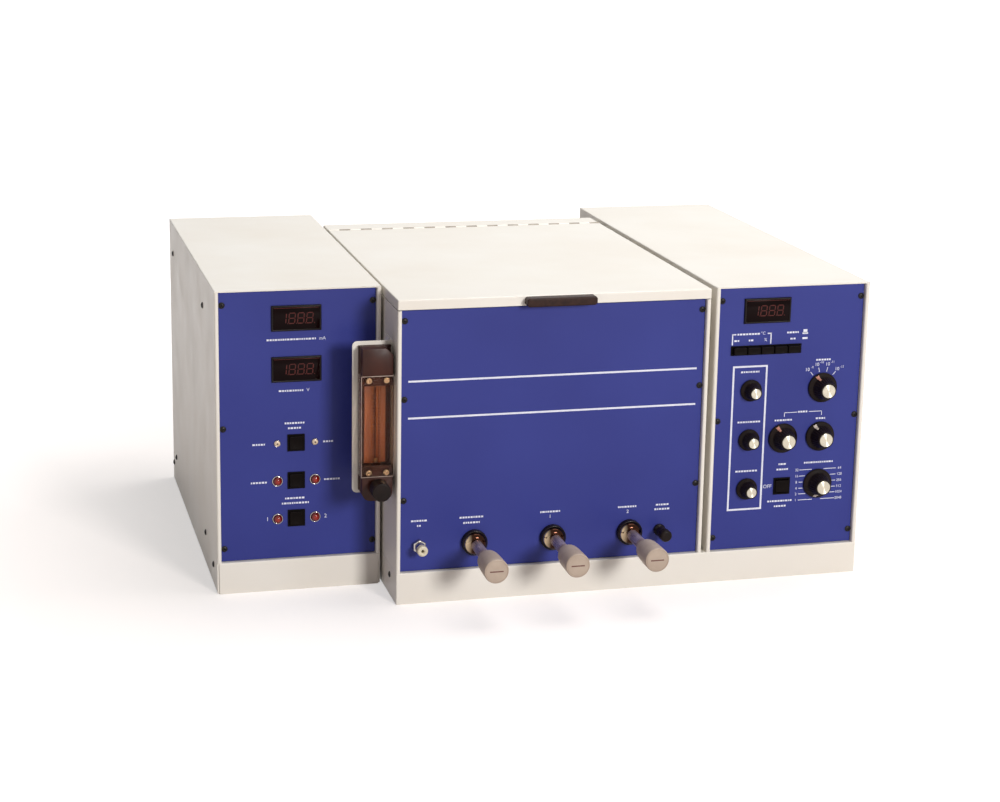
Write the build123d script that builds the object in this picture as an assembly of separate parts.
from build123d import *
import math
import os

# Bench-top gas chromatograph: a control module, a column-oven module and an
# electronics module of folded sheet metal, standing side by side.
# Millimetres, +Z up, fronts facing -Y, origin at the bottom centre of the whole box.

# ---- overall sizes ----
side_width = 176.0        # control module and electronics module, outside
centre_width = 340.0      # column-oven module, outside
left_gap = 3.0            # between the control module and the oven module
right_gap = 6.0           # between the oven module and the electronics module
module_height = 330.0     # table to the top of the side modules
body_depth = 508.0        # main front plane to the rear of the side modules
left_setback = 70.0       # control module front, behind the main front plane
centre_depth = 441.0      # oven module, front to rear
plinth_height = 34.5
lid_drop = 1.0            # lid top below the tops of the side modules
handle_reach = 92.0       # valve handles stand this far in front of the main front plane

# ---- sheet metal and fits ----
gauge = 1.5               # steel sheet
bend = 1.2                # centre-line bend radius
hem_width = 4.5           # turned front edge of a wall, seen from the front
recess = 5.0              # panel face behind the front plane
panel_thickness = 2.0
flange_width = 13.0       # fixing flange behind a panel
ledge_width = 12.0        # turned-in top of a plinth
edge_gap = 0.6            # panel to the metal around it
moving_gap = 0.3          # flat or curved faces of pieces that move apart
shaft_fit = 0.05          # radial clearance of a shaft in its bush
snug = 0.1                # radial clearance of a fixed piece in its hole
foot_gap = 0.8            # left cover above the table

# ---- screws ----
screw_head_radius = 3.4
screw_head_height = 1.9
screw_shank_radius = 1.5
screw_shank_length = 6.0
screw_inset = 8.2         # screw centre from a module's outer edge
screw_end_inset = 14.5    # top and bottom screws from the ends of a panel

# ---- digital meters ----
meter_width = 53.0
meter_height = 27.5
meter_depth = 60.0
meter_bezel = 2.0         # how much the bezel laps the panel all round
meter_proud = 2.6

# ---- push buttons and lamps of the control module ----
button_size = 18.5
button_proud = 3.2
button_stroke = 2.5
button_frame = 1.6
button_body_depth = 24.0
button_lip = 1.2
button_plunger = 8.0      # cap behind the panel face
lamp_body_depth = 16.0
window_sink = 0.8         # meter window behind the bezel's face
window_thickness = 1.0
lamp_radius = 2.8
red_lamp_radius = 4.3
lamp_bezel_radius = 6.0
lamp_bezel_height = 1.8

# ---- knobs ----
knob_skirt_radius = 16.5
knob_height = 19.0
knob_cap_radius = 8.0
small_knob_radius = 12.0
small_knob_height = 16.5
small_cap_radius = 6.0
shaft_radius = 3.17
pot_radius = 8.5
pot_depth = 13.0
pot_bush_radius = 4.7
pot_bush_reach = 3.0      # threaded bush in front of the panel
shaft_bury = 8.0          # shaft behind the panel
knob_gap = 0.5            # under the skirt
skirt_height = 3.2
cap_sink = 0.8

# ---- selector bank and rocker ----
bank_width = 81.0
bank_height = 10.5
bank_count = 5
bank_button_proud = 6.0
bank_stroke = 3.0
bank_button_width = 14.4
bank_button_height = 7.9
bank_frame = 2.0
bank_end = 1.75           # housing beyond the end buttons' pitch
bank_lip = 1.0
bank_depth = 22.0
bank_plunger = 9.0
rocker_size = 19.0
rocker_frame = 1.6
rocker_proud = 2.0
rocker_lip = 1.2
rocker_depth = 24.0
rocker_well = 10.0
rocker_pivot = 4.0
rocker_flank = 1.5
rocker_clear = 1.0        # room for the cap's corners as it tilts

# ---- rear of the case ----
vent_rows = 6
vent_top = 40.0
vent_pitch = 9.0
vent_length = 90.0
vent_height = 3.5
inlet_x = 130.0
inlet_level = 75.0
inlet_width = 27.0
inlet_height = 20.0
inlet_lip = 4.0
inlet_flange = 3.0
inlet_depth = 18.0
inlet_pin_pitch = 7.0
inlet_pin_drop = 2.0

# ---- valves on the oven module ----
valve_nut_radius = 14.0
valve_nut_height = 6.5
valve_dome_radius = 10.5
valve_dome_height = 11.0
valve_stem_radius = 5.2
handle_neck_radius = 6.0
handle_end_radius = 13.0
handle_length = 52.0
valve_body_radius = 12.0
valve_body_depth = 42.0
purge_radius = 6.6
purge_reach = 26.0
valve_thread_radius = 9.0
purge_thread_radius = 4.5
purge_stem_radius = 2.5
stem_bury = 18.0          # valve stem behind the panel face
stem_socket = 12.0        # stem inside its handle
slot_length = 15.0
slot_width = 1.4
slot_depth = 0.8

# ---- flowmeter ----
flow_plate_setback = 28.0
flow_plate_width = 42.0
flow_plate_bottom = 118.0
flow_plate_height = 163.0
flow_plate_corner = 5.0
flow_block_width = 32.0
flow_block_depth = 20.0
flow_block_left = 6.0     # body in from the outer edge of its plate
tube_radius = 5.0
tube_bore = 2.6
float_radius = 2.2
float_length = 6.0

flow_back_width = 34.0
flow_back_thickness = 4.0
flow_flange_depth = 32.0
flow_screw_inset = 5.5
flow_knob_radius = 10.0
flow_knob_reach = 17.0    # flowmeter knob in front of the main front plane
shield_thickness = 2.0
tube_seat = 6.0           # tube end inside its block
flow_low = 122.0          # lowest point of the back plate of the meter body
flow_high = 277.0
flow_tail = 8.0           # lower block below the back plate
flow_step = 12.0          # part of each block that lies under the shield
shield_low = 139.0
shield_high = 249.0
flow_screw_spread = 9.2
flow_head_radius = 3.4
flow_shank_radius = 1.3
flow_shank_length = 5.0
flow_knob_level = 130.0
flow_stem_bury = 12.0
float_rest = 1.0          # float above the seat of the tube

# ---- sample fitting ----
sample_nut_flats = 13.0
sample_nut_height = 6.0
sample_port_radius = 5.7
sample_reach = 21.0
sample_bore = 1.65        # takes a 1/8 in tube
sample_bore_depth = 14.0
sample_thread_radius = 4.2
sample_tail = 16.0

# ---- oven ----
oven_width = 214.0
oven_depth = 226.0
oven_height = 176.0
oven_front = 104.0        # oven cavity, behind the main front plane
oven_gauge = 1.0
oven_corner = 14.0
insulation = 26.0
deck_drop = 31.0          # oven deck below the lid top
fan_radius = 62.0
fan_blade_height = 18.0
fan_blades = 8
motor_radius = 34.0
motor_height = 44.0
column_radius = 84.0
column_tube = 3.2
column_turns = 4
column_nest = 8.0         # second column's coil inside the first
heater_radius = 80.0
heater_wire = 4.0
heater_lift = 15.0
rack_posts = 4
rack_post_radius = 2.8
rack_height = 32.0
fan_floor_gap = 5.0
fan_gauge = 1.2
fan_hub_radius = 9.0
fan_shaft_radius = 3.0
motor_top = 84.0
motor_neck = 8.0
injector_x = 95.0
detector_x = 250.0
port_setback = 48.0
port_height = 17.0
port_nut_height = 7.0
pad_lap = 9.0

# ---- lid and hinge ----
lid_skirt = 10.5
lid_shut_gap = 1.0        # lid skirt above the walls
hinge_setback = 403.0     # hinge line behind the main front plane
knuckle_radius = 2.2
hinge_pin_radius = 1.1
knuckle_count = 26
hinge_leaf_width = 20.0
hinge_leaf_gauge = 1.0
hinge_slot_gap = 0.6      # lid and rear deck edges from the knuckles
knuckle_gap = 0.3
handle_bar_width = 76.0
handle_bar_height = 9.4
handle_bar_depth = 12.0
handle_bar_x = 172.0
handle_bar_drop = 0.8

# ---- places worked out from the sizes above ----
total_width = 2 * side_width + centre_width + left_gap + right_gap
left_x = -total_width / 2
centre_x = left_x + side_width + left_gap
right_x = centre_x + centre_width + right_gap
end_x = right_x + side_width
front_y = -(body_depth + handle_reach) / 2 + handle_reach
left_front_y = front_y + left_setback
rear_y = front_y + body_depth
centre_rear_y = front_y + centre_depth
lid_top = module_height - lid_drop
wall_top = lid_top - lid_skirt - lid_shut_gap
deck_top = lid_top - deck_drop
hinge_y = front_y + hinge_setback
hinge_z = module_height - knuckle_radius
panel_back = recess + panel_thickness


def save(name, *pieces):
    """Write one sub-part as a STEP file in parts/."""
    solids = []
    for piece in pieces:
        solids.extend(piece.solids())
    shape = solids[0] if len(solids) == 1 else Compound(children=solids)
    export_step(shape, "parts/" + name + ".step")


def block(x0, x1, y0, y1, z0, z1):
    """A box between two corners."""
    return Pos((x0 + x1) / 2, (y0 + y1) / 2, (z0 + z1) / 2) * Box(x1 - x0, y1 - y0, z1 - z0)


def rounded_block(x0, x1, y0, y1, z0, z1, radius, axis):
    """A box with its four edges along one axis rounded."""
    box = block(x0, x1, y0, y1, z0, z1)
    return fillet(box.edges().filter_by(axis), radius)


def facing_front(x, y, z):
    """A place whose own +Z points out of the front, towards -Y."""
    return Pos(x, y, z) * Rot(X=90)


def rod(x, y, z, radius, length):
    """A cylinder that starts at y and runs towards the front."""
    return facing_front(x, y, z) * Cylinder(radius, length, align=(Align.CENTER, Align.CENTER, Align.MIN))


def turned(x, y, z, outline):
    """A turned piece: outline is (radius, height) points, height towards the front."""
    points = [(radius, height) for radius, height in outline]
    face = make_face(Polyline(*points, close=True))
    return facing_front(x, y, z) * revolve(Plane.XZ * face, Axis.Z)


def folded(path, height, z0):
    """Sheet metal folded along a plan path, standing up from z0."""
    line = Wire(FilletPolyline(*path, radius=bend).edges())
    face = make_face(line.offset_2d(gauge / 2, kind=Kind.INTERSECTION, side=Side.BOTH))
    return Pos(0, 0, z0) * extrude(face, height)


def wall_front_path(outer_x, inward, y, towards_rear):
    """Plan path from a wall round its turned front edge to the flange behind the panel."""
    middle = outer_x + inward * gauge / 2
    lip = outer_x + inward * (hem_width - gauge / 2)
    seat_y = y + towards_rear * (panel_back + gauge / 2)
    return [
        (middle, y + towards_rear * (panel_back + flange_width)),
        (middle, y + towards_rear * gauge / 2),
        (lip, y + towards_rear * gauge / 2),
        (lip, seat_y),
        (outer_x + inward * (hem_width + flange_width), seat_y),
    ]


def case_screw(place):
    """Pan-head screw: the head sits on the plane, the shank goes in behind it."""
    head = Cylinder(screw_head_radius, screw_head_height, align=(Align.CENTER, Align.CENTER, Align.MIN))
    shank = Cylinder(screw_shank_radius, screw_shank_length, align=(Align.CENTER, Align.CENTER, Align.MAX))
    return place * (head + shank)


def screw_hole(place):
    """Clearance hole for a case screw."""
    return place * Cylinder(screw_shank_radius + snug, 2 * screw_shank_length)


def panel_screw_places(x, y, width, levels):
    """Places of the screws down both sides of a front panel."""
    xs = (x + screw_inset, x + width - screw_inset)
    return [facing_front(sx, y + recess, z) for sx in xs for z in levels]


# ---- places on the panels: x from the module's left edge, z from the table ----
meter_x = 86.3
meter_levels = (298.0, 243.0)
button_x = 85.5
button_levels = (162.5, 121.0, 79.0)
lamp_spread = 20.2
side_screw_levels = (plinth_height + screw_end_inset, 181.0, module_height - 16.0)

oven_screw_levels = (113.0, 222.5, 306.0)
valve_level = 62.8
valve_xs = (85.0, 171.5, 257.5)
purge_x = 292.0
sample_x = 25.0

display_x = 60.0
display_level = 302.0
bank_x = 60.5
bank_level = 258.7
small_knob_x = 45.0
small_knob_levels = (214.0, 158.5, 103.0)
big_knob_x = 128.0
big_knob_levels = (213.5, 158.5, 104.5)
coarse_knob_x = 84.5
rocker_x = 86.0
rocker_level = 103.8

tie_spots = ((101.0, 294.0), (330.0, 294.0), (101.0, 62.0), (330.0, 62.0))
low_screw_level = plinth_height + 2.5
tray_screw_level = plinth_height * 2 / 3
cover_screw_spots = ((101.0, 294.0), (398.0, 294.0), (101.0, low_screw_level), (398.0, low_screw_level))
tray_screw_spots = ((33.0, tray_screw_level), (426.0, tray_screw_level))


def meter_places():
    """Centres of the three digital meters on their panel faces."""
    left_face = left_front_y + recess
    places = [(left_x + meter_x, left_face, z) for z in meter_levels]
    places.append((right_x + display_x, front_y + recess, display_level))
    return places


def button_places():
    """Centres of the control module's three push buttons."""
    return [(left_x + button_x, left_front_y + recess, z) for z in button_levels]


def lamp_places(levels):
    """Centres of the lamps either side of the push buttons at the given levels."""
    return [(left_x + button_x + side * lamp_spread, left_front_y + recess, z)
            for z in levels for side in (-1, 1)]


def small_knob_places():
    """Centres of the three temperature knobs."""
    return [(right_x + small_knob_x, front_y + recess, z) for z in small_knob_levels]


def big_knob_places():
    """Centres of the range, fine zero, attenuator and coarse zero knobs."""
    places = [(right_x + big_knob_x, front_y + recess, z) for z in big_knob_levels]
    places.append((right_x + coarse_knob_x, front_y + recess, big_knob_levels[1]))
    return places


def valve_places():
    """Centres of the three gas valves."""
    return [(centre_x + x, front_y + recess, valve_level) for x in valve_xs]


def bank_button_x(index):
    """Centre of one selector button."""
    pitch = (bank_width - 2 * bank_end) / bank_count
    return right_x + bank_x + (index - (bank_count - 1) / 2) * pitch


def bar_hole(place, radius):
    """Round hole right through a panel."""
    x, y, z = place
    return facing_front(x, y, z) * Cylinder(radius, 4 * panel_thickness)


def square_hole(place, width, height):
    """Rectangular hole right through a panel."""
    x, y, z = place
    return Pos(x, y, z) * Box(width, 4 * panel_thickness, height)


# ---- screws: one shape, used all over the case ----
def panel_screws(x, y, width, levels):
    return [case_screw(place) for place in panel_screw_places(x, y, width, levels)]


def wall_place(x, y, z, side):
    """A place on a side wall whose own +Z points outwards."""
    return Pos(x, y, z) * Rot(Y=90 * side)


def left_cover_screw_places():
    """Six screws on the outer side of the control module's cover, two on its inner side."""
    spots = cover_screw_spots + tray_screw_spots
    places = [wall_place(left_x, left_front_y + y, z, -1) for y, z in spots]
    places += [wall_place(left_x + side_width, left_front_y + y, z, 1) for y, z in tray_screw_spots]
    return places


def tie_places():
    """Screws that tie the control module to the oven module; heads inside the control module."""
    inner_x = left_x + side_width - gauge
    return [wall_place(inner_x, left_front_y + y, z, -1) for y, z in tie_spots]


def tie_spacers():
    """Washers that fill the gap between the two modules at each tie screw."""
    washers = []
    for y, z in tie_spots:
        place = wall_place(left_x + side_width, left_front_y + y, z, 1)
        washer = Cylinder(2 * screw_head_radius, left_gap, align=(Align.CENTER, Align.CENTER, Align.MIN))
        washers.append(place * washer - screw_hole(place))
    return washers


def right_cover_screw_places():
    """Four screws on each side of the electronics module's cover."""
    walls = ((right_x, -1), (end_x, 1))
    return [wall_place(x, left_front_y + y, z, side) for x, side in walls for y, z in cover_screw_spots]


def plinth_screw_places():
    """Two screws low on each outer side of the oven and electronics modules."""
    near = front_y + tray_screw_spots[0][0]
    level = tray_screw_spots[0][1]
    far_left = centre_rear_y - tray_screw_spots[0][0]
    far_right = rear_y - tray_screw_spots[0][0]
    return [
        wall_place(centre_x, near, level, -1),
        wall_place(centre_x, far_left, level, -1),
        wall_place(end_x, near, level, 1),
        wall_place(end_x, far_right, level, 1),
    ]


def rear_screw_places(x, width):
    """Four screws of a rear panel; their own +Z points to the rear."""
    xs = (x + screw_inset, x + width - screw_inset)
    levels = (side_screw_levels[0], side_screw_levels[2])
    return [Pos(sx, rear_y - recess, z) * Rot(X=-90) for sx in xs for z in levels]


def without(piece, holes):
    """The piece with every hole cut from it."""
    for hole in holes:
        piece = piece - hole
    return piece


# ---- case: covers, trays and panels of the two side modules ----
def module_cover(x, y, wall_bottom, screw_places):
    """Wrap-over cover: two side walls and a top, with turned front and rear edges."""
    walls = []
    top = block(x, x + side_width, y, rear_y, module_height - gauge, module_height)
    for outer_x, inward in ((x, 1), (x + side_width, -1)):
        inner_x = outer_x + inward * gauge
        walls.append(block(min(outer_x, inner_x), max(outer_x, inner_x), y + gauge, rear_y - gauge,
                           wall_bottom, module_height - gauge))
        for edge_y, towards_rear in ((y, 1), (rear_y, -1)):
            path = wall_front_path(outer_x, inward, edge_y, towards_rear)
            walls.append(folded(path, module_height - gauge - plinth_height, plinth_height))
    cover = top
    for wall in walls:
        cover = cover + wall
    long_edges = cover.edges().filter_by(Axis.Y).group_by(Axis.Z)[-1]
    cover = fillet(long_edges, gauge * 0.9)
    panel_places = panel_screw_places(x, y, side_width, side_screw_levels) + rear_screw_places(x, side_width)
    return without(cover, [screw_hole(place) for place in screw_places + panel_places])


def side_panel(x, y):
    """Blank of a side module's front panel, lying against the flanges."""
    return block(x + hem_width + edge_gap, x + side_width - hem_width - edge_gap,
                 y + recess, y + panel_back,
                 plinth_height + edge_gap, module_height - gauge - edge_gap)


def tray(outline_points, height):
    """Folded base: floor, walls and a ledge turned in round the top."""
    outline = make_face(Polyline(*outline_points, close=True))
    inside = offset(outline, -gauge, kind=Kind.INTERSECTION)
    opening = offset(outline, -ledge_width, kind=Kind.INTERSECTION)
    body = extrude(outline, height)
    upright = body.edges().filter_by(Axis.Z)
    body = fillet(upright, gauge * 0.8)
    body = fillet(body.edges().group_by(Axis.Z)[-1], gauge * 0.8)
    body = body - Pos(0, 0, gauge) * extrude(inside, height - 2 * gauge)
    return body - Pos(0, 0, gauge) * extrude(opening, height)


def make_left_case():
    """Control module: base tray, cover, blue front panel."""
    inset = gauge + moving_gap / 3
    tray_left = left_x + inset
    tray_right = left_x + side_width - inset
    corners = [(tray_left, left_front_y), (tray_right, left_front_y),
               (tray_right, rear_y), (tray_left, rear_y)]
    base = tray(corners, plinth_height)
    holes = [screw_hole(place) for place in left_cover_screw_places()]
    save("left_base_tray", without(base, holes))
    save("left_cover", module_cover(left_x, left_front_y, foot_gap, left_cover_screw_places() + tie_places()))

    panel = side_panel(left_x, left_front_y)
    cuts = [square_hole(place, meter_width - 2 * meter_bezel, meter_height - 2 * meter_bezel)
            for place in meter_places()[:2]]
    body_size = button_size - button_frame / 2
    cuts += [square_hole(place, body_size, body_size) for place in button_places()]
    cuts += [bar_hole(place, lamp_radius + snug) for place in lamp_places(button_levels[:1])]
    cuts += [bar_hole(place, red_lamp_radius + snug) for place in lamp_places(button_levels[1:])]
    cuts += [screw_hole(place) for place in
             panel_screw_places(left_x, left_front_y, side_width, side_screw_levels)]
    save("left_front_panel", without(panel, cuts))


def make_right_case():
    """Electronics module: cover and blue front panel; it stands on the shared tray."""
    save("right_cover", module_cover(right_x, front_y, plinth_height, right_cover_screw_places()))
    panel = side_panel(right_x, front_y)
    cuts = [square_hole(meter_places()[2], meter_width - 2 * meter_bezel, meter_height - 2 * meter_bezel)]
    bank_place = (right_x + bank_x, front_y + recess, bank_level)
    cuts.append(square_hole(bank_place, bank_width - bank_frame, bank_height - bank_frame))
    rocker_place = (right_x + rocker_x, front_y + recess, rocker_level)
    cuts.append(square_hole(rocker_place, rocker_size - rocker_frame, rocker_size - rocker_frame))
    knobs = small_knob_places() + big_knob_places()
    cuts += [bar_hole(place, pot_bush_radius + snug) for place in knobs]
    cuts += [screw_hole(place) for place in
             panel_screw_places(right_x, front_y, side_width, side_screw_levels)]
    save("right_front_panel", without(panel, cuts))


def make_rear_panels():
    """Louvred rear panels of the two side modules, recessed like the fronts."""
    panels = []
    for x in (left_x, right_x):
        panel = block(x + hem_width + edge_gap, x + side_width - hem_width - edge_gap,
                      rear_y - panel_back, rear_y - recess,
                      plinth_height + edge_gap, module_height - gauge - edge_gap)
        cuts = [screw_hole(place) for place in rear_screw_places(x, side_width)]
        for row in range(vent_rows):
            z = module_height - vent_top - row * vent_pitch
            middle = Pos(x + side_width / 2, rear_y - recess - panel_thickness / 2, z)
            slot = middle * Box(vent_length, 2 * panel_back, vent_height)
            cuts.append(fillet(slot.edges().filter_by(Axis.Y), vent_height * 0.45))
        if x == right_x:
            inlet_place = Pos(x + inlet_x, rear_y - recess, inlet_level)
            inlet_hole = Box(inlet_width + 2 * snug, 4 * panel_thickness, inlet_height + 2 * snug)
            cuts.append(inlet_place * inlet_hole)
        panels.append(without(panel, cuts))
    save("rear_panels", *panels)


def make_power_inlet():
    """Recessed three-pin mains inlet with its flange on the rear panel."""
    face_y = rear_y - recess
    x = right_x + inlet_x
    flange = rounded_block(x - inlet_width / 2 - inlet_lip, x + inlet_width / 2 + inlet_lip,
                           face_y, face_y + inlet_flange,
                           inlet_level - inlet_height / 2 - inlet_lip,
                           inlet_level + inlet_height / 2 + inlet_lip,
                           inlet_lip * 0.8, Axis.Y)
    body = block(x - inlet_width / 2, x + inlet_width / 2, face_y - inlet_depth, face_y,
                 inlet_level - inlet_height / 2, inlet_level + inlet_height / 2)
    socket = block(x - inlet_width / 2 + gauge, x + inlet_width / 2 - gauge,
                   face_y - inlet_depth + 2 * gauge, face_y + inlet_flange,
                   inlet_level - inlet_height / 2 + gauge, inlet_level + inlet_height / 2 - gauge)
    inlet = flange + body - socket
    for pin_x in (-inlet_pin_pitch, 0, inlet_pin_pitch):
        pin_z = inlet_level + (inlet_pin_drop if pin_x == 0 else -inlet_pin_drop)
        inlet = inlet + block(x + pin_x - 1, x + pin_x + 1, face_y - inlet_depth + gauge, face_y - gauge,
                              pin_z - 2, pin_z + 2)
    save("power_inlet", inlet)


def make_main_tray():
    """Shared plinth of the oven and electronics modules, stepped at the rear."""
    step_x = right_x
    corners = [(centre_x, front_y), (end_x, front_y), (end_x, rear_y), (step_x, rear_y),
               (step_x, centre_rear_y), (centre_x, centre_rear_y)]
    base = tray(corners, plinth_height)
    save("main_base_tray", without(base, [screw_hole(place) for place in plinth_screw_places()]))


def make_case_screws():
    """All the black pan-head screws of the case, and the washers between the modules."""
    screws = panel_screws(left_x, left_front_y, side_width, side_screw_levels)
    screws += panel_screws(centre_x, front_y, centre_width, oven_screw_levels)
    screws += panel_screws(right_x, front_y, side_width, side_screw_levels)
    places = left_cover_screw_places() + right_cover_screw_places() + plinth_screw_places() + tie_places()
    for x in (left_x, right_x):
        places += rear_screw_places(x, side_width)
    screws += [case_screw(place) for place in places]
    save("case_screws", *screws, *tie_spacers())


def make_meters():
    """Three digital panel meters: a bezel with a sunk window, and the case behind it."""
    solids = []
    for x, y, z in meter_places():
        half_width = meter_width / 2
        half_height = meter_height / 2
        bezel = rounded_block(x - half_width, x + half_width, y - meter_proud, y,
                              z - half_height, z + half_height, 1.2, Axis.Y)
        case = block(x - half_width + meter_bezel + snug, x + half_width - meter_bezel - snug,
                     y, y + meter_depth,
                     z - half_height + meter_bezel + snug, z + half_height - meter_bezel - snug)
        window = block(x - half_width + meter_bezel, x + half_width - meter_bezel,
                       y - meter_proud + window_sink, y - meter_proud + window_sink + window_thickness,
                       z - half_height + meter_bezel, z + half_height - meter_bezel)
        opening = block(x - half_width + meter_bezel, x + half_width - meter_bezel,
                        y - meter_proud, y - meter_proud + window_sink + window_thickness,
                        z - half_height + meter_bezel, z + half_height - meter_bezel)
        solids += [bezel + case - opening, window]
    save("digital_meters", *solids)


def push_button(x, y, z):
    """Square cap with a plunger that slides in its switch body."""
    half = button_size / 2 - button_frame - moving_gap
    cap = rounded_block(x - half, x + half, y - button_proud, y + button_plunger,
                        z - half, z + half, 0.8, Axis.Y)
    front_edges = cap.edges().group_by(Axis.Y)[0]
    return fillet(front_edges, 0.6)


def push_button_body(x, y, z):
    """Square switch body with a lip on the panel and a bore for the cap."""
    lip_half = button_size / 2
    body_half = lip_half - button_frame / 4 - snug
    bore_half = lip_half - button_frame
    lip = block(x - lip_half, x + lip_half, y - button_lip, y, z - lip_half, z + lip_half)
    body = block(x - body_half, x + body_half, y, y + button_body_depth, z - body_half, z + body_half)
    bore = block(x - bore_half, x + bore_half, y - button_lip,
                 y + button_plunger + button_stroke + 2 * moving_gap, z - bore_half, z + bore_half)
    return lip + body - bore


def make_buttons_and_lamps():
    """Push buttons, lamp lenses and chrome lamp bezels of the control module."""
    names = ("voltage_mode_button", "inject_purge_button", "column_select_button")
    for name, place in zip(names, button_places()):
        save(name, push_button(*place))
    lamps = []
    bezels = []
    for radius, bezel_radius, levels in ((lamp_radius, lamp_radius + 1.0, button_levels[:1]),
                                         (red_lamp_radius, lamp_bezel_radius, button_levels[1:])):
        for x, y, z in lamp_places(levels):
            crown = lamp_bezel_height + radius * 0.75
            shoulder = lamp_bezel_height + radius * 0.5
            lamps.append(turned(x, y, z, [(0, -lamp_body_depth), (radius, -lamp_body_depth),
                                          (radius, lamp_bezel_height), (radius * 0.72, shoulder),
                                          (0, crown)]))
            bezels.append(turned(x, y, z, [(radius + shaft_fit, 0), (bezel_radius, 0),
                                           (bezel_radius, lamp_bezel_height * 0.4),
                                           (bezel_radius - 0.8, lamp_bezel_height),
                                           (radius + shaft_fit, lamp_bezel_height)]))
    save("indicator_lamps", *lamps)
    save("lamp_bezels", *bezels)


def pot_body(x, y, z):
    """Potentiometer or rotary switch: can behind the panel, threaded bush through it."""
    outline = [(0, -panel_thickness - pot_depth), (pot_radius, -panel_thickness - pot_depth),
               (pot_radius, -panel_thickness), (pot_bush_radius, -panel_thickness),
               (pot_bush_radius, pot_bush_reach), (shaft_radius + shaft_fit, pot_bush_reach),
               (shaft_radius + shaft_fit, -panel_thickness - shaft_bury - moving_gap),
               (0, -panel_thickness - shaft_bury - moving_gap)]
    return turned(x, y, z, outline)


def bank_body():
    """Housing of the selector buttons: a lip on the panel and five bores."""
    x = right_x + bank_x
    y = front_y + recess
    half_width = bank_width / 2
    half_height = bank_height / 2
    lip = block(x - half_width, x + half_width, y - bank_lip, y,
                bank_level - half_height, bank_level + half_height)
    inner = bank_frame / 2 + snug
    body = block(x - half_width + inner, x + half_width - inner, y, y + bank_depth,
                 bank_level - half_height + inner, bank_level + half_height - inner)
    housing = lip + body
    for index in range(bank_count):
        button_x = bank_button_x(index)
        half = bank_button_width / 2 + moving_gap
        rise = bank_button_height / 2 + moving_gap
        housing = housing - block(button_x - half, button_x + half, y - bank_lip,
                                  y + bank_plunger + bank_stroke + 2 * moving_gap,
                                  bank_level - rise, bank_level + rise)
    return housing


def rocker_body():
    """Frame and case of the three-position rocker switch."""
    x = right_x + rocker_x
    y = front_y + recess
    half = rocker_size / 2
    inner = rocker_frame / 2 + snug
    bore = half - rocker_frame
    frame = block(x - half, x + half, y - rocker_lip, y, rocker_level - half, rocker_level + half)
    case = block(x - half + inner, x + half - inner, y, y + rocker_depth,
                 rocker_level - half + inner, rocker_level + half - inner)
    well = block(x - bore, x + bore, y - rocker_lip, y + rocker_well,
                 rocker_level - bore, rocker_level + bore)
    return frame + case - well


def make_control_bodies():
    """Everything fixed behind the controls: switch bodies, button housing, potentiometers."""
    bodies = [push_button_body(*place) for place in button_places()]
    bodies += [pot_body(*place) for place in small_knob_places() + big_knob_places()]
    bodies += [bank_body(), rocker_body()]
    save("control_bodies", *bodies)


def make_rocker():
    """Rocker cap: a shallow V-shaped paddle on a pivot below the panel face."""
    x = right_x + rocker_x
    y = front_y + recess
    half = rocker_size / 2 - rocker_frame - moving_gap
    pivot_y = y + rocker_pivot
    sweep_radius = half - rocker_clear
    with BuildPart() as cap:
        with BuildSketch(Plane.YZ.offset(x - half)):
            with BuildLine():
                Polyline((y - rocker_proud, rocker_level),
                         (y - rocker_proud - 1.0, rocker_level + sweep_radius),
                         (y + rocker_flank, rocker_level + sweep_radius), (pivot_y + 2.0, rocker_level + 2.5),
                         (pivot_y + 2.0, rocker_level - 2.5), (y + rocker_flank, rocker_level - sweep_radius),
                         (y - rocker_proud - 1.0, rocker_level - sweep_radius), close=True)
            make_face()
        extrude(amount=2 * half)
    save("mode_rocker", cap.part)


def make_selector_buttons():
    """Five narrow push buttons side by side."""
    y = front_y + recess
    for index in range(bank_count):
        x = bank_button_x(index)
        cap = block(x - bank_button_width / 2, x + bank_button_width / 2,
                    y - bank_button_proud, y + bank_plunger,
                    bank_level - bank_button_height / 2, bank_level + bank_button_height / 2)
        cap = fillet(cap.edges().group_by(Axis.Y)[0], 0.7)
        save("selector_button_" + str(index + 1), cap)


def skirted_knob(x, y, z, skirt_radius, height, cap_radius):
    """Instrument knob: skirt, tapered grip, metal cap and the control shaft it is fixed on."""
    seat = knob_gap
    grip_radius = skirt_radius * 0.76
    top_radius = cap_radius + 1.6
    bore_height = height * 0.6
    knob = turned(x, y, z, [
        (shaft_radius, bore_height), (0, bore_height), (0, height - cap_sink),
        (cap_radius, height - cap_sink), (cap_radius, height), (top_radius - 0.6, height),
        (top_radius, height - 0.8), (grip_radius, skirt_height + 1.6), (skirt_radius - 1.0, skirt_height),
        (skirt_radius, skirt_height - 0.8), (skirt_radius, seat), (pot_bush_radius + 1.0, seat),
        (pot_bush_radius + 1.0, pot_bush_reach + moving_gap), (shaft_radius, pot_bush_reach + moving_gap),
    ])
    cap = turned(x, y, z, [(0, height - cap_sink), (cap_radius, height - cap_sink),
                           (cap_radius, height + 0.2), (cap_radius - 0.5, height + 0.5), (0, height + 0.5)])
    shaft = rod(x, y + panel_thickness + shaft_bury, z, shaft_radius,
                panel_thickness + shaft_bury + bore_height)
    return [knob, cap, shaft]


def make_knobs():
    """Seven control knobs, each with its cap and shaft."""
    small_names = ("column_temperature_knob", "detector_temperature_knob", "injector_temperature_knob")
    for name, place in zip(small_names, small_knob_places()):
        save(name, *skirted_knob(*place, small_knob_radius, small_knob_height, small_cap_radius))
    big_names = ("range_knob", "fine_zero_knob", "attenuator_knob", "coarse_zero_knob")
    for name, place in zip(big_names, big_knob_places()):
        save(name, *skirted_knob(*place, knob_skirt_radius, knob_height, knob_cap_radius))


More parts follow.
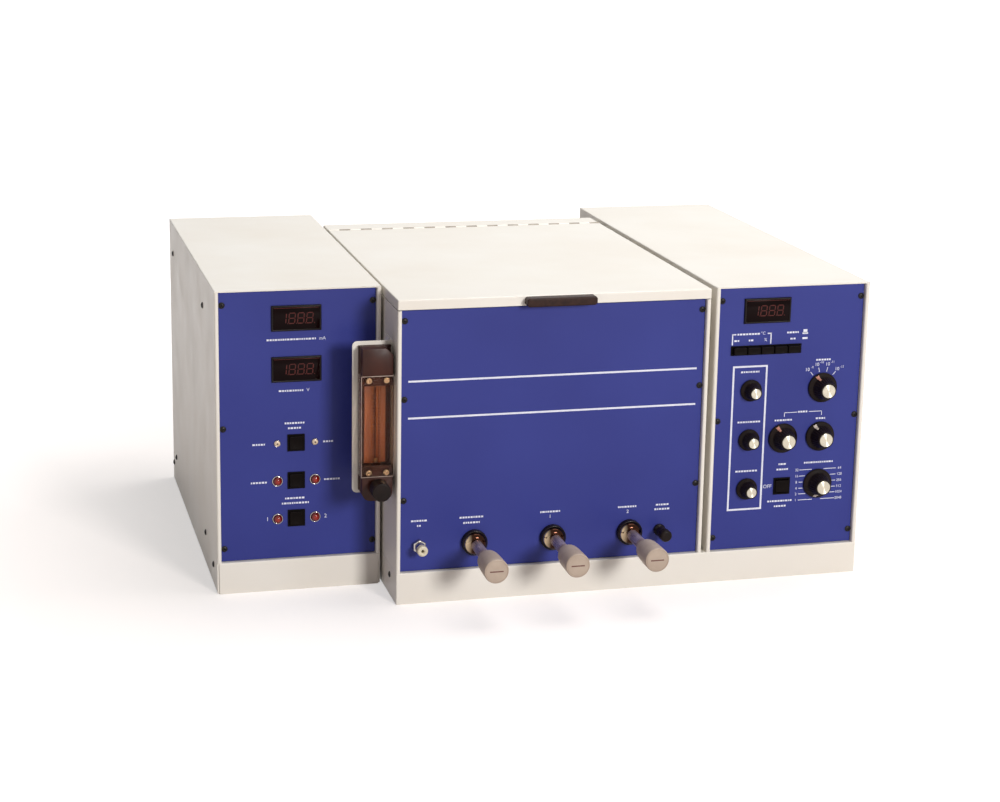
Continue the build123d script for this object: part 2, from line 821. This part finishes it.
# ---- oven module: body, front panel, lid and hinge ----
def make_centre_body():
    """Side and rear walls in one folded sheet, with turned front edges."""
    left_wall = wall_front_path(centre_x, 1, front_y, 1)
    right_wall = wall_front_path(centre_x + centre_width, -1, front_y, 1)
    rear = centre_rear_y - gauge / 2
    path = list(reversed(left_wall))[:-1]
    path += [(centre_x + gauge / 2, rear), (centre_x + centre_width - gauge / 2, rear)]
    path += right_wall[1:]
    body = folded(path, wall_top - plinth_height, plinth_height)
    for row in range(vent_rows):
        z = wall_top - vent_top - row * vent_pitch
        for x in (centre_x + centre_width * 0.28, centre_x + centre_width * 0.72):
            slot = Pos(x, centre_rear_y, z) * Box(vent_length, 4 * gauge, vent_height)
            body = body - fillet(slot.edges().filter_by(Axis.Y), vent_height * 0.45)
    places = panel_screw_places(centre_x, front_y, centre_width, oven_screw_levels) + tie_places()
    save("centre_body", without(body, [screw_hole(place) for place in places]))


def make_centre_panel():
    """Blue front panel of the oven module."""
    panel = block(centre_x + hem_width + edge_gap, centre_x + centre_width - hem_width - edge_gap,
                  front_y + recess, front_y + panel_back, plinth_height + edge_gap, wall_top - edge_gap)
    cuts = [bar_hole(place, valve_thread_radius + snug) for place in valve_places()]
    cuts.append(bar_hole((centre_x + purge_x, front_y + recess, valve_level), purge_thread_radius + snug))
    cuts.append(bar_hole((centre_x + sample_x, front_y + recess, valve_level), sample_thread_radius + snug))
    cuts += [screw_hole(place) for place in
             panel_screw_places(centre_x, front_y, centre_width, oven_screw_levels)]
    save("centre_front_panel", without(panel, cuts))


def pan(x0, x1, y0, y1, z_bottom, z_top, open_side):
    """Shallow inverted pan with rounded top edges; open_side is the y of a side without a skirt."""
    shape = block(x0, x1, y0, y1, z_bottom, z_top)
    corners = [edge for edge in shape.edges().filter_by(Axis.Z) if abs(edge.center().Y - open_side) > 1]
    shape = fillet(corners, gauge)
    rims = [edge for edge in shape.edges().group_by(Axis.Z)[-1] if abs(edge.center().Y - open_side) > 1]
    shape = fillet(rims, gauge * 0.9)
    y_low = y0 - gauge if abs(y0 - open_side) < 1 else y0 + gauge
    y_high = y1 + gauge if abs(y1 - open_side) < 1 else y1 - gauge
    return shape - block(x0 + gauge, x1 - gauge, y_low, y_high, z_bottom - gauge, z_top - gauge)


def make_lid():
    """Oven lid: a shallow steel pan, its insulated pad and its grip."""
    lid_rear = hinge_y - knuckle_radius - hinge_slot_gap
    lid = pan(centre_x, centre_x + centre_width, front_y, lid_rear, lid_top - lid_skirt, lid_top, lid_rear)
    save("lid", lid)
    x0 = oven_centre_x - oven_width / 2 - pad_lap
    x1 = oven_centre_x + oven_width / 2 + pad_lap
    y0 = front_y + oven_front - pad_lap
    y1 = front_y + oven_front + oven_depth + pad_lap
    pad = rounded_block(x0, x1, y0, y1, deck_top + moving_gap, lid_top - gauge, oven_corner, Axis.Z)
    lower_rim = pad.edges().group_by(Axis.Z)[0]
    save("lid_insulation", fillet(lower_rim, 4.0))

    middle = centre_x + handle_bar_x
    half = handle_bar_width / 2
    z1 = lid_top - handle_bar_drop
    grip = rounded_block(middle - half, middle + half, front_y - handle_bar_depth, front_y,
                         z1 - handle_bar_height, z1, 3.5, Axis.Y)
    groove = block(middle - half + 4, middle + half - 4, front_y - handle_bar_depth + 3.5, front_y - 3.0,
                   z1 - handle_bar_height - 1, z1 - 3.5)
    grip = fillet(grip.edges().group_by(Axis.Y)[0], 1.5) - groove
    save("lid_handle", grip)


def knuckle_span(index):
    """Low and high x of one hinge knuckle."""
    pitch = centre_width / knuckle_count
    low = centre_x + index * pitch + knuckle_gap / 2
    return low, low + pitch - knuckle_gap


def hinge_leaf(first, towards_rear):
    """Every second knuckle from the first one, on one leaf."""
    bore = hinge_pin_radius + shaft_fit
    leaf_z = lid_top - gauge
    low_x = centre_x + gauge + edge_gap
    high_x = centre_x + centre_width - gauge - edge_gap
    near = hinge_y + towards_rear * (knuckle_radius + hinge_slot_gap)
    far = hinge_y + towards_rear * hinge_leaf_width
    leaf = block(low_x, high_x, min(near, far), max(near, far), leaf_z - hinge_leaf_gauge, leaf_z)
    for index in range(first, knuckle_count, 2):
        x0, x1 = knuckle_span(index)
        axis_place = Pos((x0 + x1) / 2, hinge_y, hinge_z) * Rot(Y=90)
        barrel = axis_place * Cylinder(knuckle_radius, x1 - x0)
        web = block(x0, x1, min(hinge_y, near), max(hinge_y, near), leaf_z - hinge_leaf_gauge, leaf_z)
        leaf = leaf + (barrel + web)
    pin_bore = Pos(centre_x + centre_width / 2, hinge_y, hinge_z) * Rot(Y=90)
    return leaf - pin_bore * Cylinder(bore, centre_width)


def make_hinge():
    """Piano hinge: one leaf under the lid, one under the rear deck, one long pin."""
    save("hinge_lid_leaf", hinge_leaf(0, -1))
    pin_place = Pos(centre_x + centre_width / 2, hinge_y, hinge_z) * Rot(Y=90)
    pin = pin_place * Cylinder(hinge_pin_radius, centre_width - 2 * knuckle_gap)
    save("hinge_body_leaf", hinge_leaf(1, 1), pin)
    deck_front = hinge_y + knuckle_radius + hinge_slot_gap
    save("rear_deck", pan(centre_x, centre_x + centre_width, deck_front, centre_rear_y,
                          wall_top, lid_top, deck_front))


# ---- oven: deck, liner, insulation, fan, heater, columns, ports ----
def make_oven():
    """Inner deck round the oven, stainless liner, and the five fibre boards round the liner."""
    x0 = oven_centre_x - oven_width / 2
    x1 = oven_centre_x + oven_width / 2
    y0 = front_y + oven_front
    y1 = y0 + oven_depth
    floor = deck_top - oven_height
    cavity = rounded_block(x0, x1, y0, y1, floor, lid_top, oven_corner, Axis.Z)
    outer = rounded_block(x0 - oven_gauge, x1 + oven_gauge, y0 - oven_gauge, y1 + oven_gauge,
                          floor - oven_gauge, deck_top, oven_corner + oven_gauge, Axis.Z)
    deck = block(centre_x + gauge + edge_gap, centre_x + centre_width - gauge - edge_gap,
                 front_y + panel_back + gauge, centre_rear_y - gauge - edge_gap, deck_top - gauge, deck_top)
    rim_hole = rounded_block(x0 - oven_gauge - snug, x1 + oven_gauge + snug, y0 - oven_gauge - snug,
                             y1 + oven_gauge + snug, floor, lid_top, oven_corner + oven_gauge + snug, Axis.Z)
    flange_clear = hem_width + flange_width + edge_gap
    for corner_x, inward in ((centre_x, 1), (centre_x + centre_width, -1)):
        notch_x = corner_x + inward * flange_clear
        deck = deck - block(min(corner_x, notch_x), max(corner_x, notch_x),
                            front_y, front_y + panel_back + gauge + edge_gap, 0, lid_top)
    save("oven_deck", deck - rim_hole)
    shaft_hole = Pos(oven_centre_x, oven_centre_y, floor) * Cylinder(fan_shaft_radius + 2.0, 4 * insulation)
    save("oven_liner", outer - cavity - shaft_hole)
    near_x = x0 - oven_gauge - snug
    far_x = x1 + oven_gauge + snug
    near_y = y0 - oven_gauge - snug
    far_y = y1 + oven_gauge + snug
    bottom = floor - oven_gauge
    board_top = deck_top - gauge
    boards = [
        block(x0 - insulation, x1 + insulation, y0 - insulation, y1 + insulation,
              floor - insulation, bottom) - shaft_hole,
        block(x0 - insulation, near_x, y0 - insulation, y1 + insulation, bottom, board_top),
        block(far_x, x1 + insulation, y0 - insulation, y1 + insulation, bottom, board_top),
        block(near_x, far_x, y0 - insulation, near_y, bottom, board_top),
        block(near_x, far_x, far_y, y1 + insulation, bottom, board_top),
    ]
    save("oven_insulation", *boards)


def make_fan():
    """Stirring fan in the oven floor, and its motor on a bracket below."""
    floor = deck_top - oven_height
    hub_bottom = floor + fan_floor_gap
    shaft_low = motor_top - motor_height * 0.4
    rotor = Pos(oven_centre_x, oven_centre_y, (shaft_low + hub_bottom + fan_blade_height) / 2) * \
        Cylinder(fan_shaft_radius, hub_bottom + fan_blade_height - shaft_low)
    disc = Pos(oven_centre_x, oven_centre_y, hub_bottom) * \
        Cylinder(fan_radius, fan_gauge, align=(Align.CENTER, Align.CENTER, Align.MIN))
    hub = Pos(oven_centre_x, oven_centre_y, hub_bottom) * \
        Cylinder(fan_hub_radius, fan_blade_height, align=(Align.CENTER, Align.CENTER, Align.MIN))
    rotor = rotor + disc + hub
    for index in range(fan_blades):
        blade = Pos(fan_radius * 0.68, 0, fan_blade_height / 2) * Rot(Z=25) * \
            Box(fan_radius * 0.56, fan_gauge, fan_blade_height)
        turn = Pos(oven_centre_x, oven_centre_y, hub_bottom) * Rot(Z=index * 360 / fan_blades)
        rotor = rotor + turn * blade
    save("fan_rotor", rotor)

    can = Pos(oven_centre_x, oven_centre_y, motor_top) * \
        Cylinder(motor_radius, motor_height, align=(Align.CENTER, Align.CENTER, Align.MAX))
    neck = Pos(oven_centre_x, oven_centre_y, motor_top) * \
        Cylinder(fan_shaft_radius * 2.5, motor_neck, align=(Align.CENTER, Align.CENTER, Align.MIN))
    bore = Pos(oven_centre_x, oven_centre_y, shaft_low - moving_gap) * \
        Cylinder(fan_shaft_radius + shaft_fit, motor_height, align=(Align.CENTER, Align.CENTER, Align.MIN))
    motor = fillet(can.edges().filter_by(GeomType.CIRCLE), 3.0) + neck - bore
    bracket_half = motor_radius + 14.0
    seat = motor_top - motor_height
    bracket = block(oven_centre_x - bracket_half, oven_centre_x + bracket_half,
                    oven_centre_y - motor_radius, oven_centre_y + motor_radius, seat - gauge, seat)
    for side in (-1, 1):
        leg_x = oven_centre_x + side * (bracket_half - gauge / 2)
        foot_x = oven_centre_x + side * (bracket_half + 7.0)
        bracket = bracket + block(leg_x - gauge / 2, leg_x + gauge / 2, oven_centre_y - motor_radius,
                                  oven_centre_y + motor_radius, gauge, seat)
        bracket = bracket + block(foot_x - 8.0, foot_x + 8.0, oven_centre_y - motor_radius,
                                  oven_centre_y + motor_radius, gauge, 2 * gauge)
    save("fan_motor", motor, bracket)


def oven_ring(outline):
    """A ring about the oven's centre line; outline is (radius, z) points."""
    face = make_face(Polyline(*outline, close=True))
    return Pos(oven_centre_x, oven_centre_y, 0) * revolve(Plane.XZ * face, Axis.Z)


def coil(radius, low):
    """Close-wound coil of tube: a ring with one ridge for each turn, inside and outside."""
    half = column_tube / 2
    waist = half * 0.45
    outer = [(radius + waist, low)]
    inner = [(radius - waist, low)]
    for turn in range(column_turns):
        middle = low + (turn + 0.5) * column_tube
        outer += [(radius + half, middle), (radius + waist, middle + half)]
        inner += [(radius - half, middle), (radius - waist, middle + half)]
    return oven_ring(outer + list(reversed(inner)))


def make_heater_and_columns():
    """Ring heater and column rack standing on the oven floor, and two coiled columns."""
    floor = deck_top - oven_height
    low = floor + heater_lift - heater_wire
    high = floor + heater_lift + heater_wire
    flat = heater_wire * 0.45
    middle = (low + high) / 2
    heater = oven_ring([
        (heater_radius - flat, low), (heater_radius + flat, low),
        (heater_radius + heater_wire, middle - flat),
        (heater_radius + heater_wire, middle + flat), (heater_radius + flat, high),
        (heater_radius - flat, high), (heater_radius - heater_wire, middle + flat),
        (heater_radius - heater_wire, middle - flat)])
    for index in range(rack_posts):
        angle = math.radians(360 / rack_posts * (index + 0.5))
        x = oven_centre_x + heater_radius * math.cos(angle)
        y = oven_centre_y + heater_radius * math.sin(angle)
        heater = heater + Pos(x, y, floor) * \
            Cylinder(rack_post_radius, rack_height, align=(Align.CENTER, Align.CENTER, Align.MIN))
    rack_z = floor + rack_height
    guard = Pos(oven_centre_x, oven_centre_y, rack_z) * \
        Cylinder(column_radius + 8.0, oven_gauge, align=(Align.CENTER, Align.CENTER, Align.MIN))
    guard = guard - Pos(oven_centre_x, oven_centre_y, rack_z) * Cylinder(fan_radius * 0.55, 4 * oven_gauge)
    save("oven_heater", heater + guard)
    base = rack_z + oven_gauge
    save("column_coils", coil(column_radius, base), coil(column_radius - column_nest, base))


def make_ports():
    """Injector block with two septum nuts, and the detector cell, both on the deck."""
    x = centre_x + injector_x
    y = front_y + port_setback
    body = rounded_block(x - 34, x + 34, y - 14, y + 14, deck_top, deck_top + port_height, 2.0, Axis.Z)
    for side in (-1, 1):
        place = Pos(x + side * 17, y, deck_top + port_height)
        nut = extrude(RegularPolygon(8.0, 6), port_nut_height)
        body = body + place * nut
        body = body - place * Cylinder(1.2, 3 * port_nut_height)
    save("injector_ports", body)

    x = centre_x + detector_x
    cell = Pos(x, y, deck_top) * Cylinder(26, port_height, align=(Align.CENTER, Align.CENTER, Align.MIN))
    cell = chamfer(cell.edges().group_by(Axis.Z)[-1], 2.0)
    cap = Pos(x, y, deck_top + port_height) * \
        Cylinder(15, port_nut_height, align=(Align.CENTER, Align.CENTER, Align.MIN))
    save("detector_cell", cell + cap)


# ---- gas fittings on the oven module's front ----
def make_valves():
    """Three carrier-gas valves and the small purge valve: bodies, clamp nuts, bonnets."""
    solids = []
    for x, y, z in valve_places():
        solids.append(turned(x, y, z, [
            (0, -valve_body_depth), (valve_body_radius, -valve_body_depth),
            (valve_body_radius, -panel_thickness), (valve_thread_radius, -panel_thickness),
            (valve_thread_radius, valve_nut_height), (valve_dome_radius, valve_nut_height),
            (valve_dome_radius * 0.93, valve_nut_height + 2.2), (valve_dome_radius * 0.72, valve_dome_height),
            (valve_stem_radius + shaft_fit, valve_dome_height + 0.8),
            (valve_stem_radius + shaft_fit, -stem_bury - moving_gap), (0, -stem_bury - moving_gap)]))
        solids.append(turned(x, y, z, [
            (valve_thread_radius + shaft_fit, 0), (valve_nut_radius, 0),
            (valve_nut_radius, valve_nut_height - 1.2), (valve_nut_radius - 1.2, valve_nut_height),
            (valve_dome_radius + shaft_fit, valve_nut_height), (valve_thread_radius + shaft_fit, 4.0)]))
    x, y, z = purge_place()
    solids.append(turned(x, y, z, [
        (0, -valve_body_depth * 0.6), (purge_radius * 1.2, -valve_body_depth * 0.6),
        (purge_radius * 1.2, -panel_thickness), (purge_thread_radius, -panel_thickness),
        (purge_thread_radius, 0), (purge_radius, 0), (purge_radius, 3.5), (purge_radius - 1.2, 5.0),
        (purge_stem_radius + shaft_fit, 5.0), (purge_stem_radius + shaft_fit, -stem_bury / 2 - moving_gap),
        (0, -stem_bury / 2 - moving_gap)]))
    save("valve_bodies", *solids)


def valve_handle(x, y, z):
    """Chrome stem with a flared plastic handle that carries a slotted end."""
    end = handle_reach + recess
    neck = end - handle_length
    stem = rod(x, y + stem_bury, z, valve_stem_radius, stem_bury + neck + stem_socket)
    grip = turned(x, y, z, [
        (valve_stem_radius, neck), (handle_neck_radius, neck),
        (handle_end_radius * 0.66, neck + handle_length * 0.22),
        (handle_end_radius * 0.93, neck + handle_length * 0.45), (handle_end_radius, end - 3.0),
        (handle_end_radius - 0.8, end - 0.9), (handle_end_radius - 2.4, end), (0, end),
        (0, neck + stem_socket), (valve_stem_radius, neck + stem_socket)])
    slot = Pos(x, y - end, z) * Box(slot_length, 2 * slot_depth, slot_width)
    return [grip - slot, stem]


def purge_place():
    """Centre of the purge valve on the oven module's panel."""
    return centre_x + purge_x, front_y + recess, valve_level


def make_valve_handles():
    """Three long valve handles and the small purge knob."""
    names = ("detector_valve_handle", "carrier_one_handle", "carrier_two_handle")
    for name, place in zip(names, valve_places()):
        save(name, *valve_handle(*place))
    x, y, z = purge_place()
    save("purge_knob", turned(x, y, z, [
        (0, -stem_bury / 2), (purge_stem_radius, -stem_bury / 2), (purge_stem_radius, 5.0 + moving_gap),
        (purge_radius - 1.0, 5.0 + moving_gap), (purge_radius * 0.82, 9.0), (purge_radius * 0.82, 15.0),
        (purge_radius, 17.0), (purge_radius, purge_reach - 2.0), (purge_radius - 1.4, purge_reach),
        (0, purge_reach)]))


def make_sample_fitting():
    """Bulkhead union for the sample tube: hexagon, threaded neck and tube nut."""
    x = centre_x + sample_x
    y = front_y + recess
    place = facing_front(x, y, valve_level)
    hexagon = place * extrude(RegularPolygon(sample_nut_flats / math.sqrt(3), 6), sample_nut_height)
    body = hexagon + turned(x, y, valve_level, [
        (0, -sample_tail), (sample_port_radius - 1, -sample_tail), (sample_port_radius - 1, -panel_thickness),
        (sample_thread_radius, -panel_thickness), (sample_thread_radius, 0),
        (sample_thread_radius, sample_nut_height + 1.5), (sample_port_radius - 0.8, sample_nut_height + 1.5),
        (sample_port_radius, sample_nut_height + 3.0), (sample_port_radius, sample_reach - 1.0),
        (sample_port_radius - 1.0, sample_reach), (0, sample_reach)])
    bore = place * (Pos(0, 0, sample_reach - sample_bore_depth) * Cylinder(
        sample_bore, 2 * sample_bore_depth, align=(Align.CENTER, Align.CENTER, Align.MIN)))
    save("sample_fitting", body - bore)


# ---- flowmeter beside the oven module ----
def make_flowmeter():
    """Variable-area flowmeter: bracket, blocks, tapered tube, float, shield, screws and knob."""
    plate_y = front_y + flow_plate_setback
    plate_right = centre_x
    plate_left = plate_right - flow_plate_width
    plate_top = flow_plate_bottom + flow_plate_height
    plate = block(plate_left, plate_right, plate_y, plate_y + gauge, flow_plate_bottom, plate_top)
    left_corners = [edge for edge in plate.edges().filter_by(Axis.Y) if edge.center().X < plate_left + 1]
    plate = fillet(left_corners, flow_plate_corner)
    flange = block(plate_right - gauge, plate_right, plate_y, plate_y + flow_flange_depth,
                   flow_plate_bottom, plate_top)
    save("flowmeter_bracket", plate + flange)

    axis_x = plate_left + flow_block_left + flow_back_width / 2
    half = flow_block_width / 2
    back_half = flow_back_width / 2
    front = plate_y - flow_block_depth
    under_shield = front + shield_thickness + 1.0
    back = block(axis_x - back_half, axis_x + back_half, plate_y - flow_back_thickness, plate_y,
                 flow_low, flow_high)
    top_block = block(axis_x - half, axis_x + half, front, plate_y, shield_high, flow_high)
    corner = [edge for edge in top_block.edges().filter_by(Axis.Y)
              if edge.center().X > axis_x and edge.center().Z > shield_high + 1]
    top_block = chamfer(corner, 7.0)
    top_step = block(axis_x - half, axis_x + half, under_shield, plate_y,
                     shield_high - flow_step, shield_high)
    low_block = block(axis_x - half, axis_x + half, front, plate_y, flow_low - flow_tail, shield_low)
    low_corners = [edge for edge in low_block.edges().filter_by(Axis.Y)
                   if edge.center().Z < shield_low - 1]
    low_block = fillet(low_corners, 9.0)
    low_step = block(axis_x - half, axis_x + half, under_shield, plate_y, shield_low, shield_low + flow_step)
    body = back + top_block + top_step + low_block + low_step
    tube_y = plate_y - flow_back_thickness - tube_radius - 1.2
    tube_low = shield_low + flow_step - tube_seat
    tube_high = shield_high - flow_step + tube_seat
    tube_hole = Pos(axis_x, tube_y, tube_low) * Cylinder(
        tube_radius + snug, tube_high - tube_low, align=(Align.CENTER, Align.CENTER, Align.MIN))
    screw_xs = (axis_x - flow_screw_spread, axis_x + flow_screw_spread)
    screw_levels = (shield_low + flow_screw_inset, shield_high - flow_screw_inset)
    shank_holes = [facing_front(x, under_shield, z) * Cylinder(flow_shank_radius, 2 * flow_shank_length)
                   for x in screw_xs for z in screw_levels]
    knob_z = flow_knob_level
    knob_bore = facing_front(axis_x, front, knob_z) * \
        Cylinder(purge_stem_radius + shaft_fit, 2 * flow_stem_bury)
    save("flowmeter_body", without(body, [tube_hole, knob_bore] + shank_holes))

    tube = Pos(axis_x, tube_y, tube_low) * (
        Cylinder(tube_radius, tube_high - tube_low, align=(Align.CENTER, Align.CENTER, Align.MIN))
        - Cylinder(tube_bore, tube_high - tube_low, align=(Align.CENTER, Align.CENTER, Align.MIN)))
    stop_top = tube_low + tube_seat + float_rest
    stop = Pos(axis_x, tube_y, tube_low) * Cylinder(
        tube_bore, stop_top - tube_low - moving_gap / 3, align=(Align.CENTER, Align.CENTER, Align.MIN))
    save("flowmeter_tube", tube + stop)
    float_axis = Pos(axis_x, tube_y, stop_top)
    bob = Plane.XZ * make_face(Polyline((0, 0), (0.8, 0), (float_radius, float_length * 0.55),
                                        (float_radius, float_length), (0, float_length), close=True))
    save("flowmeter_float", float_axis * revolve(bob, Axis.Z))

    shield_half = half + 1.5
    shield = block(axis_x - shield_half, axis_x + shield_half, front, front + shield_thickness,
                   shield_low + edge_gap, shield_high - edge_gap)
    for side in (-1, 1):
        wing_x = axis_x + side * (shield_half - shield_thickness / 4)
        shield = shield + block(wing_x - shield_thickness / 4, wing_x + shield_thickness / 4,
                                front, plate_y - flow_back_thickness - edge_gap,
                                shield_low + edge_gap, shield_high - edge_gap)
    save("flowmeter_shield", without(shield, shank_holes))
    screws = []
    for x in screw_xs:
        for z in screw_levels:
            head = turned(x, front, z, [(0, 0), (flow_head_radius, 0), (flow_head_radius, 1.4),
                                        (flow_head_radius - 0.8, 2.0), (0, 2.0)])
            screws.append(head + rod(x, under_shield + flow_shank_length, z, flow_shank_radius - snug / 2,
                                     under_shield + flow_shank_length - front))
    save("flowmeter_screws", *screws)

    knob_front = flow_plate_setback - flow_block_depth + flow_knob_reach
    save("flowmeter_knob", turned(axis_x, front, knob_z, [
        (0, -flow_stem_bury + moving_gap), (purge_stem_radius, -flow_stem_bury + moving_gap),
        (purge_stem_radius, 6.0), (flow_knob_radius - 1.0, 6.0), (flow_knob_radius, 7.0),
        (flow_knob_radius, knob_front - 1.0), (flow_knob_radius - 1.0, knob_front), (0, knob_front)]))


def make_electronics():
    """Transformers and upright circuit boards standing on the floors of the side modules."""
    solids = []
    for x, y in ((left_x, left_front_y), (right_x, front_y)):
        middle = x + side_width / 2
        core = block(middle - 38, middle + 38, y + 250, y + 310, gauge, gauge + 64)
        winding = rounded_block(middle - 26, middle + 26, y + 236, y + 324,
                                gauge + 12, gauge + 52, 8.0, Axis.Y)
        solids.append(core + winding)
        board = block(middle - 1, middle + 1, y + 95, y + 225, gauge, gauge + 170)
        solids.append(board)
    save("electronics", *solids)


oven_centre_x = centre_x + centre_width / 2
oven_centre_y = front_y + oven_front + oven_depth / 2

os.makedirs("parts", exist_ok=True)
make_left_case()
make_right_case()
make_rear_panels()
make_power_inlet()
make_main_tray()
make_case_screws()
make_meters()
make_buttons_and_lamps()
make_control_bodies()
make_rocker()
make_selector_buttons()
make_knobs()
make_centre_body()
make_centre_panel()
make_lid()
make_hinge()
make_oven()
make_fan()
make_heater_and_columns()
make_ports()
make_valves()
make_valve_handles()
make_sample_fitting()
make_flowmeter()
make_electronics()
